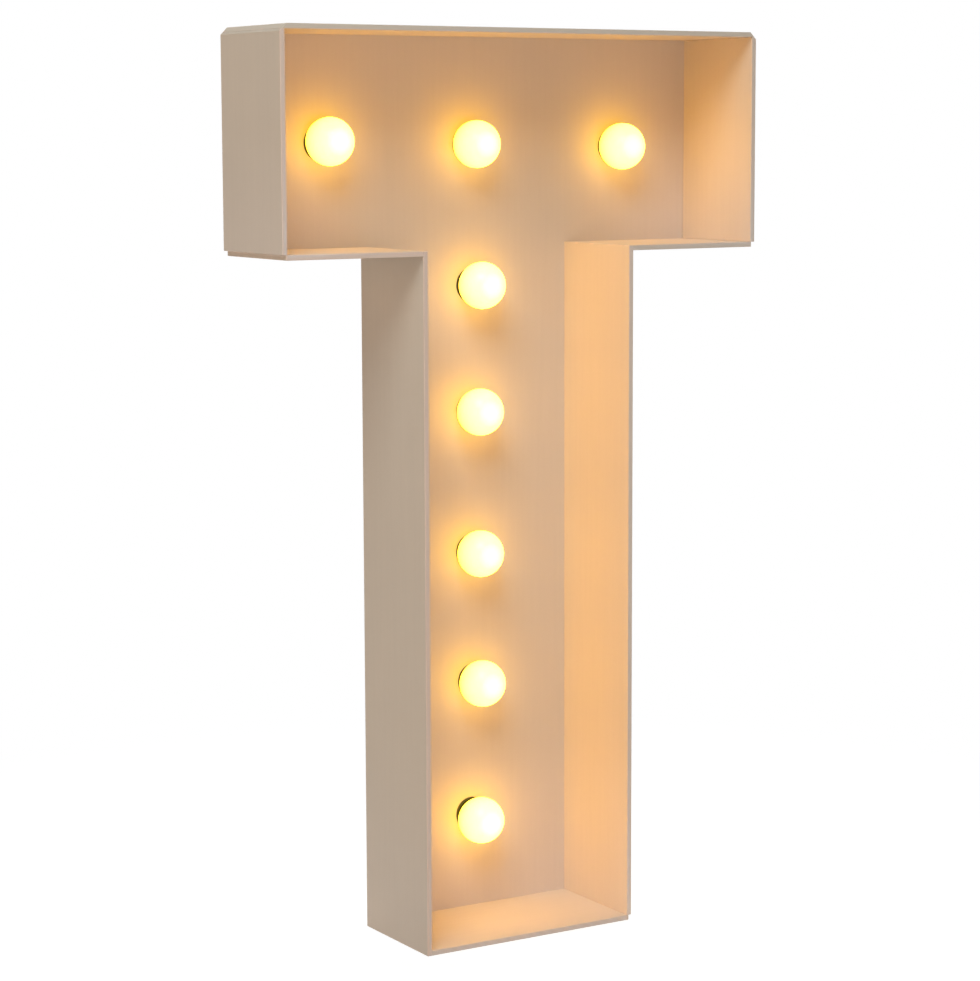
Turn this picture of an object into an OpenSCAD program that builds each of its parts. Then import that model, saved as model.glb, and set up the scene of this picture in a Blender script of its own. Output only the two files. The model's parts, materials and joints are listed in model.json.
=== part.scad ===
// Free-standing light-up letter T: an open-fronted case of painted boards, screw-in globe bulbs
// on the light panel at the back, and a shallow wiring cover behind that panel.
// Millimetres. +Z is up and the open front faces -Y.
// The origin is the middle of the case's foot, on the floor.

/* [Letter] */
// Height of the letter
letter_h = 900; // [760:1:1100]
// Width of the bar across the top
bar_w = 540; // [480:1:700]
// Height of the bar
bar_h = 216; // [180:1:260]
// Width of the stem
stem_w = 241; // [220:1:300]
// Depth of the case from its front edge to its rear edge
case_d = 123; // [90:1:180]

/* [Boards] */
// Thickness of the wall boards
wall_t = 5; // [3:0.5:8]
// Thickness of the light panel
panel_t = 5; // [5:0.5:9]
// How far the boards under the bar reach under its end boards
bar_lap = 1; // [1:0.5:2.5]
// How far the bottom board reaches under the stem's right side
foot_lap = 2; // [1:0.5:2.5]

/* [Bulb places] */
// Distance from the bar's end to the centre of its outer bulb
bar_bulb_end = 100; // [80:1:115]
// Height of the lowest bulb's centre above the floor
low_bulb_z = 100; // [96:1:140]

/* [Bulb] */
// Diameter of the globe
globe_d = 47; // [42:0.5:52]
// Distance from the light panel's front to the globe's centre
globe_out = 22; // [20:0.5:30]
// Thickness of the globe's shell
globe_t = 1; // [0.6:0.1:1.4]
// Diameter of the globe's neck
neck_d = 28; // [27:0.5:29]
// Distance from the light panel's front back to the rim of the screw cap
cap_in = 4.5; // [3:0.5:6]
// Length of the screw cap from its rim to the contact tip
cap_len = 28; // [26:0.5:32]
// Diameter over the crests of the cap's thread
thread_d = 26.2; // [25.8:0.1:26.6]
// Depth of the cap's thread
thread_depth = 0.8; // [0.5:0.1:1]
// Distance from one crest of the thread to the next
thread_pitch = 3.63; // [3.4:0.01:3.8]
// Diameter of the light head inside the globe
led_head_d = 17; // [12:0.5:19]
// Length of the light head inside the globe
led_head_len = 18; // [12:0.5:20]

/* [Lampholder] */
// How far the lampholder's rim stands proud of the light panel
rim_out = 1; // [0.5:0.5:3]
// Thickness of the lampholder's moulded wall
holder_wall = 2.4; // [2:0.1:3]
// Diameter of the flange behind the light panel
holder_flange_d = 48; // [46:0.5:54]
// Thickness of the flange behind the light panel
holder_flange_t = 3; // [2:0.5:5]
// Thickness of the lampholder's floor
holder_floor_t = 3.5; // [2.5:0.5:5]
// Thickness of the thread shell and of the contact strips
shell_t = 0.6; // [0.4:0.1:0.8]

/* [Wiring] */
// Diameter of the cable between lampholders
cable_d = 6; // [5:0.5:7]
// Diameter of the single lead wires
lead_d = 2.4; // [1.8:0.1:3]
// Width of the terminal block
block_w = 20; // [18:1:26]
// Height of the terminal block
block_h = 16; // [14:1:18]
// Depth of the terminal block
block_d = 11; // [10:0.5:11.5]

/* [Wiring cover] */
// Distance of the wiring cover's walls from the letter's edges
cover_inset = 32; // [30:1:45]
// Width of the cover's screw flange
flange_w = 14; // [12:1:18]
// Thickness of the cover
cover_t = 2.5; // [2:0.1:4]
// Room between the lampholders and the inside of the cover
cover_gap = 1.5; // [1:0.5:5]
// Radius of the cover's corners
cover_r = 8; // [5:0.5:12]

/* [Switch and inlet] */
// Height of the switch and the inlet above the floor
service_z = 44; // [40:1:50]
// Distance of the switch and the inlet from the middle of the stem
service_x = 45; // [38:1:52]
// Height of the switch's frame
switch_h = 21.5; // [19:0.5:24]
// Width of the switch's frame
switch_w = 15.5; // [14:0.5:18]
// How far the switch's frame stands proud of the cover
switch_lip = 2; // [1.5:0.5:3]
// Angle of the rocker from level, pressed to one end
rocker_tilt = 10; // [6:1:12]
// Width of the inlet's flange
inlet_w = 38; // [36:0.5:44]
// Height of the inlet's flange
inlet_h = 17; // [15:0.5:20]
// Thickness of the inlet's flange
inlet_flange_t = 2.5; // [2:0.5:4]
// Width of the inlet's socket
socket_w = 15.6; // [15:0.1:17]
// Height of the inlet's socket
socket_h = 8.6; // [8:0.1:10]
// Depth of the inlet's socket
socket_d = 13; // [11:0.5:16]
// Distance between the inlet's pins
inlet_pin_pitch = 8.6; // [8:0.1:9]
// Diameter of the inlet's pins
inlet_pin_d = 2.4; // [2:0.1:3]

/* [Screws] */
// Shank diameter of the screws
screw_d = 3; // [2.5:0.1:3.5]
// Head diameter of the screws
screw_head_d = 5.6; // [5:0.1:6.4]
// Head height of the screws
screw_head_h = 2; // [1.6:0.1:2.6]
// How far a screw goes into the light panel
screw_grip = 4; // [3:0.5:4.5]

/* [Hidden] */
$fn = 64;

// How far a cut runs past the face that it opens
cut = 1;

// Clearances
screw_gap = 0.05;
holder_hole_gap = 0.3;
neck_gap = 1;
thread_gap = 0.6;
shell_gap = 0.1;
contact_gap = 0.3;
core_gap = 0.4;
cap_fit = 0.1;
cable_gap = 0.7;
cable_end_gap = 0.3;
terminal_room = 0.2;
service_gap = 0.2;
pivot_gap = 0.05;
rocker_gap = 0.4;

// Planes across the depth, from the open front to the wiring cover
front_y = -case_d / 2;
rear_y = case_d / 2;
panel_y = rear_y - panel_t;

// Main levels
bar_bottom = letter_h - bar_h;
stem_top = bar_bottom + wall_t;
top_under = letter_h - wall_t;

// Slanted cut across the bar's upper corners, through the top board and a little into the end boards
corner_cut = 1.4 * wall_t;
corner_edge = corner_cut - wall_t;

// Places of the bulbs on the light panel, with the small wander of holes drilled by hand
bulb_count = 8;
bar_bulb_count = 3;
bulbs = [0 : bulb_count - 1];
bar_bulb_z = letter_h - bar_h / 2;
bar_bulb_pitch = bar_w / 2 - bar_bulb_end;
stem_bulb_pitch = (bar_bulb_z - low_bulb_z) / (bulb_count - bar_bulb_count);
bulb_wander = [[2, -1], [-0.5, -3], [4, -6], [3, -5.5], [2.5, 6], [1.5, 0], [3, 4], [0, 2.5]];
function on_bar(i) = i < bar_bulb_count;
function even_x(i) = on_bar(i) ? (i - 1) * bar_bulb_pitch : 0;
function even_z(i) = on_bar(i) ? bar_bulb_z : bar_bulb_z - (i - bar_bulb_count + 1) * stem_bulb_pitch;
function bulb_x(i) = even_x(i) + bulb_wander[i][0];
function bulb_z(i) = even_z(i) + bulb_wander[i][1];

// Radii of the bulb and lampholder, worked outwards from the thread
globe_r = globe_d / 2;
neck_r = neck_d / 2;
thread_r = thread_d / 2;
root_r = thread_r - thread_depth;
cap_bore_r = root_r - shell_t;
neck_end_r = cap_bore_r - cap_fit;
neck_end_len = 4.5;
cap_rim_len = 2;
cap_rim_lip = 0.2;
cap_rim_r = thread_r + cap_rim_lip;
cap_base_len = 5.5;
tip_r = 4.8;
tip_len = 2;
shell_in_r = thread_r + thread_gap;
shell_out_r = shell_in_r + shell_t;
holder_bore_r = shell_out_r + shell_gap;
holder_r = holder_bore_r + holder_wall;
holder_mouth_r = neck_r + neck_gap;

// Depths along a bulb's axis, measured back from the light panel's front
tip_s = cap_in + cap_len;
cap_base_s = tip_s - cap_base_len;
floor_s = tip_s + contact_gap + shell_t;
holder_end_s = floor_s + holder_floor_t;
holder_mouth_len = cap_in + cap_rim_len;
shell_step = 1;
shell_s = holder_mouth_len + shell_step;
cable_s = holder_end_s + cable_d / 2;

// Cross recess in a screw's head
recess_l = 3.4;
recess_w = 0.9;
recess_h = 1;

// Lampholder terminals, contact strips and screws
terminal_w = 5;
terminal_h = 8;
terminal_d = cable_d;
terminal_x = 3.7;
strip_w = 4;
strip_gap = 1.1;
rivet_r = 1;
holder_cap_wall = 1.8;
post_wall = 0.9;
post_sink = 0.5;
post_r = screw_head_d / 2 + post_wall;
post_x = (holder_r - holder_cap_wall - post_r + post_sink) / sqrt(2);
holder_screw_x = (holder_r + holder_flange_d / 2) / 2;
terminal_screw_r = 1.6;
terminal_screw_h = 1.2;
terminal_side = terminal_x + terminal_w / 2 + cable_end_gap;
terminal_edge = terminal_h / 2 + cable_end_gap;
holder_cap_d = terminal_d + terminal_screw_h + terminal_room + holder_cap_wall;
holder_cap_s = holder_end_s + holder_cap_d;
cable_y = panel_y + cable_s;

// Core of the bulb
led_driver_r = neck_end_r - globe_t - core_gap;
led_stem_r = 4;
led_head_r = led_head_d / 2;
led_head_s = -globe_out + led_head_len / 2;

// Wiring cover
cover_d = holder_cap_s - panel_t + cover_gap + cover_t;
cover_y = rear_y + cover_d;
cover_in_y = cover_y - cover_t;
flange_inset = cover_inset - flange_w;
flange_mid = cover_inset - flange_w / 2;
bar_screw_x = bar_w / 2 - flange_mid;
stem_screw_x = stem_w / 2 - flange_mid;
under_screw_x = (bar_screw_x + stem_screw_x) / 2;
stem_screw_rows = 4;
stem_screw_step = (bar_bottom - flange_w) / stem_screw_rows;
cover_screw_places = concat(
    [for (side = [-1, 1]) for (z = [letter_h - flange_mid, bar_bulb_z]) [side * bar_screw_x, z]],
    [for (side = [-1, 0, 1]) [side * under_screw_x, letter_h - flange_mid]],
    [for (side = [-1, 1]) [side * under_screw_x, bar_bottom + flange_mid]],
    [for (side = [-1, 1]) for (k = [0 : stem_screw_rows])
        [side * stem_screw_x, flange_w + k * stem_screw_step]]
);

// Switch: its pivot lies on the cover's outer face
switch_wall = 1.1;
switch_frame = 1.3;
switch_body_h = switch_h - 2 * switch_frame;
switch_body_w = switch_w - 2 * switch_frame;
switch_body_d = 14;
rocker_w = switch_body_w - 2 * (switch_wall + rocker_gap);
rocker_room = 0.3;
rocker_taper = 1.2;
rocker_half = switch_body_h / 2 - switch_wall - rocker_room;
rocker_end_y = 4;
rocker_mid_y = 2.6;
rocker_foot = 5.5;
rocker_deep = 2.4;
pivot_r = 1.2;
pivot_skin = 0.2;
pivot_len = switch_body_w - 2 * pivot_skin;
switch_cavity_d = 6;
tab_w = 4.8;
tab_t = 0.8;
tab_len = 8;
switch_tab_z = 5;

// Inlet
inlet_wall = 2;
inlet_body_w = socket_w + 2 * inlet_wall;
inlet_body_h = socket_h + 2 * inlet_wall;
inlet_back = 3;
inlet_body_d = socket_d + inlet_back - inlet_flange_t;
inlet_screw_x = (inlet_w + inlet_body_w) / 4;
inlet_screw_len = 8;
inlet_pin_short = 2;

// Terminal block on the inside of the cover
block_y = cover_in_y - block_d;
block_pole_x = 5;
block_bore_r = 1.7;
block_wire_y = cover_in_y - block_d / 2;

// Colours
paint = "#e6dac8";
frost = "#fff3d0";
black_plastic = "#1f1d1c";
nickel = "#c9c6bd";
brass = "#c9a253";
steel = "#a9abae";
white_plastic = "#e9e4da";
rocker_black = "#2a2826";
lead_brown = "#5a3a22";

// A board of the case, as deep as the case, between two sides and two levels
module board(x0, x1, z0, z1) {
    translate([x0, front_y, z0]) cube([x1 - x0, case_d, z1 - z0]);
}

// An outline in X and Z, made a slab that runs back from the plane y
module slab(y, depth) {
    translate([0, y + depth, 0]) rotate([90, 0, 0]) linear_extrude(depth) children();
}

// Children drawn along +Z at a bulb's place: Z runs back from the light panel's front
module at_bulb(i) {
    translate([bulb_x(i), panel_y, bulb_z(i)]) rotate([-90, 0, 0]) children();
}

// Children drawn along +Z at a place on the cover: Z runs back from the plane y
module at_rear(x, y, z) {
    translate([x, y, z]) rotate([-90, 0, 0]) children();
}

// A tube from one depth to another
module tube(r_out, r_in, z0, z1) {
    translate([0, 0, z0]) difference() {
        cylinder(r = r_out, h = z1 - z0);
        translate([0, 0, -cut]) cylinder(r = r_in, h = z1 - z0 + 2 * cut);
    }
}

// A screw whose head sits on z = 0 and whose shank goes down, with a cross recess in its head
module screw(length) {
    difference() {
        union() {
            cylinder(d = screw_head_d, h = screw_head_h);
            translate([0, 0, -length]) cylinder(d = screw_d, h = length + recess_h / 2);
        }
        for (turn = [0, 90])
            rotate(turn) translate([-recess_l / 2, -recess_w / 2, screw_head_h - recess_h])
                cube([recess_l, recess_w, recess_h + cut]);
    }
}

// A rectangle with round corners, between two sides and two levels
module round_rect(x0, x1, z0, z1, r) {
    translate([x0 + r, z0]) square([x1 - x0 - 2 * r, z1 - z0]);
    translate([x0, z0 + r]) square([x1 - x0, z1 - z0 - 2 * r]);
    for (x = [x0 + r, x1 - r])
        for (z = [z0 + r, z1 - r])
            translate([x, z]) circle(r);
}

// The letter's outline drawn in by an inset, standing on the level foot
module letter_outline(inset, foot, r) {
    bar_half = bar_w / 2 - inset;
    stem_half = stem_w / 2 - inset;
    round_rect(-bar_half, bar_half, bar_bottom + inset, letter_h - inset, r);
    round_rect(-stem_half, stem_half, foot, letter_h - inset, r);
}

// The top board lies on the bar's end boards, and its ends are cut at a slant
module top_panel() {
    upper = bar_w / 2 - corner_cut;
    lower = bar_w / 2 - corner_edge;
    color(paint) slab(front_y, case_d)
        polygon([[-lower, top_under], [lower, top_under], [upper, letter_h], [-upper, letter_h]]);
}

// An end board of the bar, on the side -1 or 1, with its upper outer edge cut at the same slant
module bar_end(side) {
    outer = bar_w / 2;
    inner = outer - wall_t;
    outline = [
        [inner, stem_top],
        [outer, stem_top],
        [outer, top_under - corner_edge],
        [outer - corner_edge, top_under],
        [inner, top_under]
    ];
    slab(front_y, case_d) polygon([for (p = outline) [side * p[0], p[1]]]);
}

module bar_left_panel() {
    color(paint) bar_end(-1);
}

module bar_right_panel() {
    color(paint) bar_end(1);
}

// A board under the bar, from the stem's outer face to a short lap under the end board
module bar_underside(side) {
    inner = stem_w / 2;
    outer = bar_w / 2 - wall_t + bar_lap;
    board(side > 0 ? inner : -outer, side > 0 ? outer : -inner, bar_bottom, stem_top);
}

module bar_underside_left() {
    color(paint) bar_underside(-1);
}

module bar_underside_right() {
    color(paint) bar_underside(1);
}

// The left side of the stem runs down to the floor and covers the bottom board's end
module stem_left_panel() {
    color(paint) board(-stem_w / 2, -stem_w / 2 + wall_t, 0, stem_top);
}

// The right side of the stem stands on the bottom board's upper face
module stem_right_panel() {
    color(paint) board(stem_w / 2 - wall_t, stem_w / 2, wall_t, stem_top);
}

module bottom_panel() {
    color(paint) board(-stem_w / 2 + wall_t, stem_w / 2 - wall_t + foot_lap, 0, wall_t);
}

module light_panel() {
    bar_half = bar_w / 2 - wall_t;
    stem_half = stem_w / 2 - wall_t;
    color(paint) difference() {
        translate([0, panel_y, 0]) union() {
            translate([-bar_half, 0, stem_top]) cube([2 * bar_half, panel_t, bar_h - 2 * wall_t]);
            translate([-stem_half, 0, wall_t]) cube([2 * stem_half, panel_t, stem_top]);
        }
        for (i = bulbs) at_bulb(i) {
            translate([0, 0, -cut]) cylinder(r = holder_r + holder_hole_gap, h = panel_t + 2 * cut);
            for (side = [-1, 1])
                translate([side * holder_screw_x, 0, panel_t - screw_grip])
                    cylinder(r = screw_d / 2 + screw_gap, h = screw_grip + cut);
        }
        for (place = cover_screw_places)
            at_rear(place[0], rear_y - screw_grip, place[1])
                cylinder(r = screw_d / 2 + screw_gap, h = screw_grip + cut);
    }
}

// A T-shaped tray with a screw flange, which stands on the floor at its foot
module rear_cover() {
    inner = cover_inset + cover_t;
    color(white_plastic) difference() {
        union() {
            slab(rear_y, cover_d) letter_outline(cover_inset, 0, cover_r);
            slab(rear_y, cover_t) letter_outline(flange_inset, 0, cover_r);
        }
        slab(rear_y - cut, cover_d - cover_t + cut) letter_outline(inner, cover_t, cover_r - cover_t);
        for (place = cover_screw_places)
            at_rear(place[0], rear_y - cut, place[1])
                cylinder(r = screw_d / 2 + screw_gap, h = cover_t + 2 * cut);
        translate([service_x, cover_in_y - cut, service_z]) service_hole(switch_body_w, switch_body_h);
        translate([-service_x, cover_in_y - cut, service_z]) service_hole(inlet_body_w, inlet_body_h);
        for (side = [-1, 1])
            at_rear(-service_x + side * inlet_screw_x, cover_in_y - cut, service_z)
                cylinder(r = screw_d / 2 + screw_gap, h = cover_t + 2 * cut);
    }
}

// The hole in the cover for a body of the given width and height
module service_hole(w, h) {
    translate([-w / 2 - service_gap, 0, -h / 2 - service_gap])
        cube([w + 2 * service_gap, cover_t + 2 * cut, h + 2 * service_gap]);
}

module rear_cover_screws() {
    color(steel)
        for (place = cover_screw_places)
            at_rear(place[0], rear_y + cover_t, place[1]) screw(cover_t + screw_grip);
}

// A moulded lampholder: a barrel through the light panel, a flange behind it and a floor for the contacts
module lampholder(i) {
    color(black_plastic) at_bulb(i) difference() {
        union() {
            translate([0, 0, -rim_out]) cylinder(r = holder_r, h = holder_end_s + rim_out);
            translate([0, 0, panel_t]) cylinder(d = holder_flange_d, h = holder_flange_t);
        }
        translate([0, 0, -rim_out - cut])
            cylinder(r = holder_mouth_r, h = rim_out + holder_mouth_len + cut);
        translate([0, 0, holder_mouth_len - cut])
            cylinder(r = holder_bore_r, h = floor_s - holder_mouth_len + cut);
        for (side = [-1, 1]) {
            translate([side * terminal_x, 0, floor_s - cut])
                cylinder(r = rivet_r + screw_gap, h = holder_floor_t + 2 * cut);
            translate([side * post_x, side * post_x, floor_s - cut])
                cylinder(r = screw_d / 2 + screw_gap, h = holder_floor_t + 2 * cut);
            translate([side * holder_screw_x, 0, panel_t - cut])
                cylinder(r = screw_d / 2 + screw_gap, h = holder_flange_t + 2 * cut);
        }
    }
}

// Directions in which cables leave a lampholder's cap, in degrees clockwise from the right,
// seen from the front
function cable_sides(i) = i == 0 ? [0] : i == 1 ? [0, 90, 180] : i == 2 ? [180] : [90, 270];

module lampholder_cap(i) {
    cup_end = holder_cap_s - holder_cap_wall;
    at_bulb(i) difference() {
        union() {
            tube(holder_r, holder_r - holder_cap_wall, holder_end_s, holder_cap_s);
            translate([0, 0, cup_end]) cylinder(r = holder_r, h = holder_cap_wall);
            for (side = [-1, 1])
                translate([side * post_x, side * post_x, holder_end_s])
                    cylinder(r = post_r, h = holder_cap_d);
        }
        for (side = [-1, 1])
            translate([side * post_x, side * post_x, 0]) {
                translate([0, 0, holder_end_s - cut])
                    cylinder(r = screw_d / 2 + screw_gap, h = holder_cap_d + 2 * cut);
                translate([0, 0, holder_cap_s - screw_head_h])
                    cylinder(r = screw_head_d / 2 + screw_gap, h = screw_head_h + cut);
            }
        for (turn = cable_sides(i))
            rotate(turn) translate([holder_r / 2, 0, cable_s]) rotate([0, 90, 0])
                cylinder(d = cable_d + 2 * cable_gap, h = holder_r);
    }
}

module lampholder_caps() {
    color(black_plastic) for (i = bulbs) lampholder_cap(i);
}

// The thread shell, with a strip across the floor and a rivet to its terminal
module lampholder_shells() {
    strip_s = floor_s - shell_t;
    strip_end = terminal_x - rivet_r;
    color(brass) for (i = bulbs) at_bulb(i) {
        tube(shell_out_r, shell_in_r, shell_s, floor_s);
        translate([-shell_in_r - shell_t / 2, -strip_w / 2, strip_s])
            cube([shell_in_r + shell_t / 2 - strip_end, strip_w, shell_t]);
        translate([-terminal_x, 0, strip_s]) cylinder(r = rivet_r, h = holder_end_s - strip_s);
    }
}

// The centre contact: a strip under the bulb's tip and a rivet to its terminal
module lampholder_contacts() {
    strip_s = floor_s - shell_t;
    strip_start = terminal_x - rivet_r - strip_gap;
    color(brass) for (i = bulbs) at_bulb(i) {
        translate([-strip_start, -strip_w / 2, strip_s])
            cube([strip_start + terminal_x + rivet_r, strip_w, shell_t]);
        translate([terminal_x, 0, strip_s]) cylinder(r = rivet_r, h = holder_end_s - strip_s);
    }
}

module lampholder_terminals() {
    color(brass) for (i = bulbs) at_bulb(i)
        for (side = [-1, 1])
            translate([side * terminal_x - terminal_w / 2, -terminal_h / 2, holder_end_s])
                cube([terminal_w, terminal_h, terminal_d]);
}

module lampholder_terminal_screws() {
    color(steel) for (i = bulbs) at_bulb(i)
        for (side = [-1, 1])
            translate([side * terminal_x, 0, holder_end_s + terminal_d])
                cylinder(r = terminal_screw_r, h = terminal_screw_h);
}

module lampholder_screws() {
    color(steel) for (i = bulbs) at_bulb(i)
        for (side = [-1, 1])
            translate([side * holder_screw_x, 0, panel_t + holder_flange_t])
                screw(holder_flange_t + screw_grip);
}

// Screws sunk in the cap's posts, which hold it to the lampholder's floor
module lampholder_cap_screws() {
    head_s = holder_cap_s - screw_head_h;
    color(steel) for (i = bulbs) at_bulb(i)
        for (side = [-1, 1])
            translate([side * post_x, side * post_x, head_s]) screw(head_s - floor_s);
}

// The frosted globe, with the neck that the screw cap is fixed on
module bulb_globe(i) {
    color(frost) at_bulb(i) difference() {
        union() {
            translate([0, 0, -globe_out]) sphere(r = globe_r);
            translate([0, 0, -globe_out]) cylinder(r = neck_r, h = globe_out + cap_in);
            translate([0, 0, cap_in - cut]) cylinder(r = neck_end_r, h = neck_end_len + cut);
        }
        translate([0, 0, -globe_out]) sphere(r = globe_r - globe_t);
        translate([0, 0, -globe_out]) cylinder(r = neck_r - globe_t, h = globe_out + cap_in - globe_t);
        translate([0, 0, cap_in - globe_t - cut])
            cylinder(r = neck_end_r - globe_t, h = neck_end_len + globe_t + 2 * cut);
    }
}

// Outline of the screw cap from its rim to its contact tip, radius against depth
function thread_wave(s) = root_r + thread_depth * (0.5 + 0.5 * cos(360 * s / thread_pitch));
cap_thread_len = floor((cap_base_s - cap_in - cap_rim_len) / thread_pitch - 0.5) * thread_pitch;
thread_points = 6;
thread_step = thread_pitch / thread_points;
cap_outline = concat(
    [[0, cap_base_s], [cap_bore_r, cap_base_s], [cap_bore_r, cap_in], [cap_rim_r, cap_in]],
    [[cap_rim_r, cap_in + cap_rim_len]],
    [for (s = [thread_pitch / 2 : thread_step : cap_thread_len + thread_pitch / 2])
        [thread_wave(s), cap_in + cap_rim_len + s]],
    [[root_r, cap_base_s], [tip_r, tip_s - tip_len], [tip_r, tip_s - tip_len / 2]],
    [[tip_r / 2, tip_s], [0, tip_s]]
);

module bulb_cap(i) {
    color(nickel) at_bulb(i) rotate_extrude() polygon(cap_outline);
}

// The bulb's core: a driver in the cap, a stem up the neck and a light head in the globe
module bulb_led(i) {
    driver_len = cap_base_s - core_gap - cap_in;
    color(white_plastic) at_bulb(i) union() {
        translate([0, 0, cap_in]) cylinder(r = led_driver_r, h = driver_len);
        translate([0, 0, led_head_s - cut]) cylinder(r = led_stem_r, h = cap_in - led_head_s + 2 * cut);
        translate([0, 0, led_head_s - led_head_len]) cylinder(r = led_head_r, h = led_head_len);
    }
}

// A cable straight up from one level to another
module upright_cable(x, z0, z1) {
    translate([x, cable_y, z0]) cylinder(d = cable_d, h = z1 - z0);
}

// A cable between two points at the cable's depth
module sloped_cable(x0, z0, x1, z1) {
    run = norm([x1 - x0, z1 - z0]);
    translate([x0, cable_y, z0]) rotate([0, atan2(x1 - x0, z1 - z0), 0]) cylinder(d = cable_d, h = run);
}

module cable_links() {
    color(black_plastic) {
        for (i = [bar_bulb_count + 1 : bulb_count - 1])
            sloped_cable(
                bulb_x(i), bulb_z(i) + terminal_edge,
                bulb_x(i - 1), bulb_z(i - 1) - terminal_edge
            );
        sloped_cable(bulb_x(3), bulb_z(3) + terminal_edge, bulb_x(1), bulb_z(1) - terminal_edge);
        sloped_cable(bulb_x(0) + terminal_side, bulb_z(0), bulb_x(1) - terminal_side, bulb_z(1));
        sloped_cable(bulb_x(1) + terminal_side, bulb_z(1), bulb_x(2) - terminal_side, bulb_z(2));
        upright_cable(
            bulb_x(bulb_count - 1), service_z + block_h / 2,
            bulb_z(bulb_count - 1) - terminal_edge
        );
    }
}

module terminal_block() {
    color(white_plastic) difference() {
        translate([-block_w / 2, block_y, service_z - block_h / 2]) cube([block_w, block_d, block_h]);
        for (side = [-1, 1])
            translate([side * block_pole_x, block_wire_y, service_z - block_h / 2 - cut])
                cylinder(r = block_bore_r, h = block_h / 2 + cut);
    }
}

// A smooth curve that leaves its start along one direction and comes in to its end against another
function curve_point(a, b, c, d, t) =
    pow(1 - t, 3) * a + 3 * t * pow(1 - t, 2) * b + 3 * t * t * (1 - t) * c + pow(t, 3) * d;
curve_steps = 10;
function curve(start, leave, arrive, end) =
    [for (k = [0 : curve_steps]) curve_point(start, start + leave, end + arrive, end, k / curve_steps)];

// A round wire along a list of points
wire_sides = 8;
wire_lean = [0.31, 0.52, 0.79];
function unit(v) = v / norm(v);
function heading(path, k) = unit(path[min(k + 1, len(path) - 1)] - path[max(k - 1, 0)]);
function ring(path, k, r) =
    let (along = heading(path, k), across = unit(cross(along, wire_lean)), up = cross(along, across))
    [for (n = [0 : wire_sides - 1])
        path[k] + r * (cos(360 * n / wire_sides) * across + sin(360 * n / wire_sides) * up)];

module wire(path, r) {
    last = len(path) - 1;
    side_faces = [for (k = [0 : last - 1]) for (n = [0 : wire_sides - 1])
        let (m = (n + 1) % wire_sides, low = k * wire_sides, high = low + wire_sides)
        each [[low + n, high + m, low + m], [low + n, high + n, high + m]]];
    start_face = [for (n = [1 : wire_sides - 2]) [0, n, n + 1]];
    end_base = last * wire_sides;
    end_face = [for (n = [1 : wire_sides - 2]) [end_base, end_base + n + 1, end_base + n]];
    polyhedron([for (k = [0 : last]) each ring(path, k, r)], concat(side_faces, start_face, end_face));
}

// Ends of the solder tabs behind the inlet and the switch
inlet_tab_y = cover_y + inlet_flange_t - socket_d - inlet_back - tab_len;
switch_tab_y = cover_y - switch_body_d - tab_len;

// Lead wires: their straight ends, how far each bend reaches, and the solder between wire and tab
lead_stub = 1.5;
lead_drop = 14;
lead_reach = 10;
lead_bow = 16;
lead_solder = 0.3;
function lead_path(start, leave, arrive, end) = concat(
    [start],
    curve(start + lead_stub * unit(leave), leave, arrive, end + lead_stub * unit(arrive)),
    [end]
);

module lead_wires() {
    start_z = service_z - block_h / 2;
    inlet_end_y = inlet_tab_y - lead_solder;
    switch_end_y = switch_tab_y - lead_solder;
    down = [0, 0, -lead_drop];
    forward = [0, -lead_reach, 0];
    bow = [0, -lead_bow, 0];
    neutral_start = [-block_pole_x, block_wire_y, start_z];
    live_start = [block_pole_x, block_wire_y, start_z];
    near_pin = [-service_x + inlet_pin_pitch / 2, inlet_end_y, service_z];
    far_pin = [-service_x - inlet_pin_pitch / 2, inlet_end_y, service_z];
    low_tab = [service_x, switch_end_y, service_z - switch_tab_z];
    high_tab = [service_x, switch_end_y, service_z + switch_tab_z];
    color(lead_brown) {
        wire(lead_path(neutral_start, down, forward, near_pin), lead_d / 2);
        wire(lead_path(live_start, down, forward, low_tab), lead_d / 2);
        wire(lead_path(far_pin, bow, bow, high_tab), lead_d / 2);
    }
}

// The switch: a frame on the cover's outside and a hollow body through it
module switch_body() {
    opening_h = switch_body_h - 2 * switch_wall;
    opening_w = switch_body_w - 2 * switch_wall;
    color(black_plastic) translate([service_x, 0, service_z]) difference() {
        union() {
            translate([-switch_w / 2, cover_y, -switch_h / 2]) cube([switch_w, switch_lip, switch_h]);
            translate([-switch_body_w / 2, cover_y - switch_body_d, -switch_body_h / 2])
                cube([switch_body_w, switch_body_d + switch_lip / 2, switch_body_h]);
        }
        translate([-opening_w / 2, cover_y - switch_cavity_d, -opening_h / 2])
            cube([opening_w, switch_cavity_d + switch_lip + cut, opening_h]);
        translate([-pivot_len / 2, cover_y, 0]) rotate([0, 90, 0])
            cylinder(r = pivot_r + pivot_gap, h = pivot_len);
    }
}

// The rocker rests with its upper end pressed, which is on
module switch_rocker() {
    outline = [
        [rocker_taper - rocker_half, rocker_end_y],
        [0, rocker_mid_y],
        [rocker_half - rocker_taper, rocker_end_y],
        [rocker_half, 0], [rocker_foot, -rocker_deep], [-rocker_foot, -rocker_deep], [-rocker_half, 0]
    ];
    color(rocker_black) translate([service_x, cover_y, service_z]) rotate([rocker_tilt, 0, 0]) union() {
        translate([-rocker_w / 2, 0, 0]) rotate([90, 0, 90]) linear_extrude(rocker_w)
            polygon([for (p = outline) [p[1], p[0]]]);
        translate([-pivot_len / 2 + pivot_gap, 0, 0]) rotate([0, 90, 0])
            cylinder(r = pivot_r, h = pivot_len - 2 * pivot_gap);
    }
}

module switch_terminals() {
    color(brass)
        for (side = [-1, 1])
            translate([service_x - tab_w / 2, switch_tab_y, service_z + side * switch_tab_z - tab_t / 2])
                cube([tab_w, tab_len, tab_t]);
}

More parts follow.
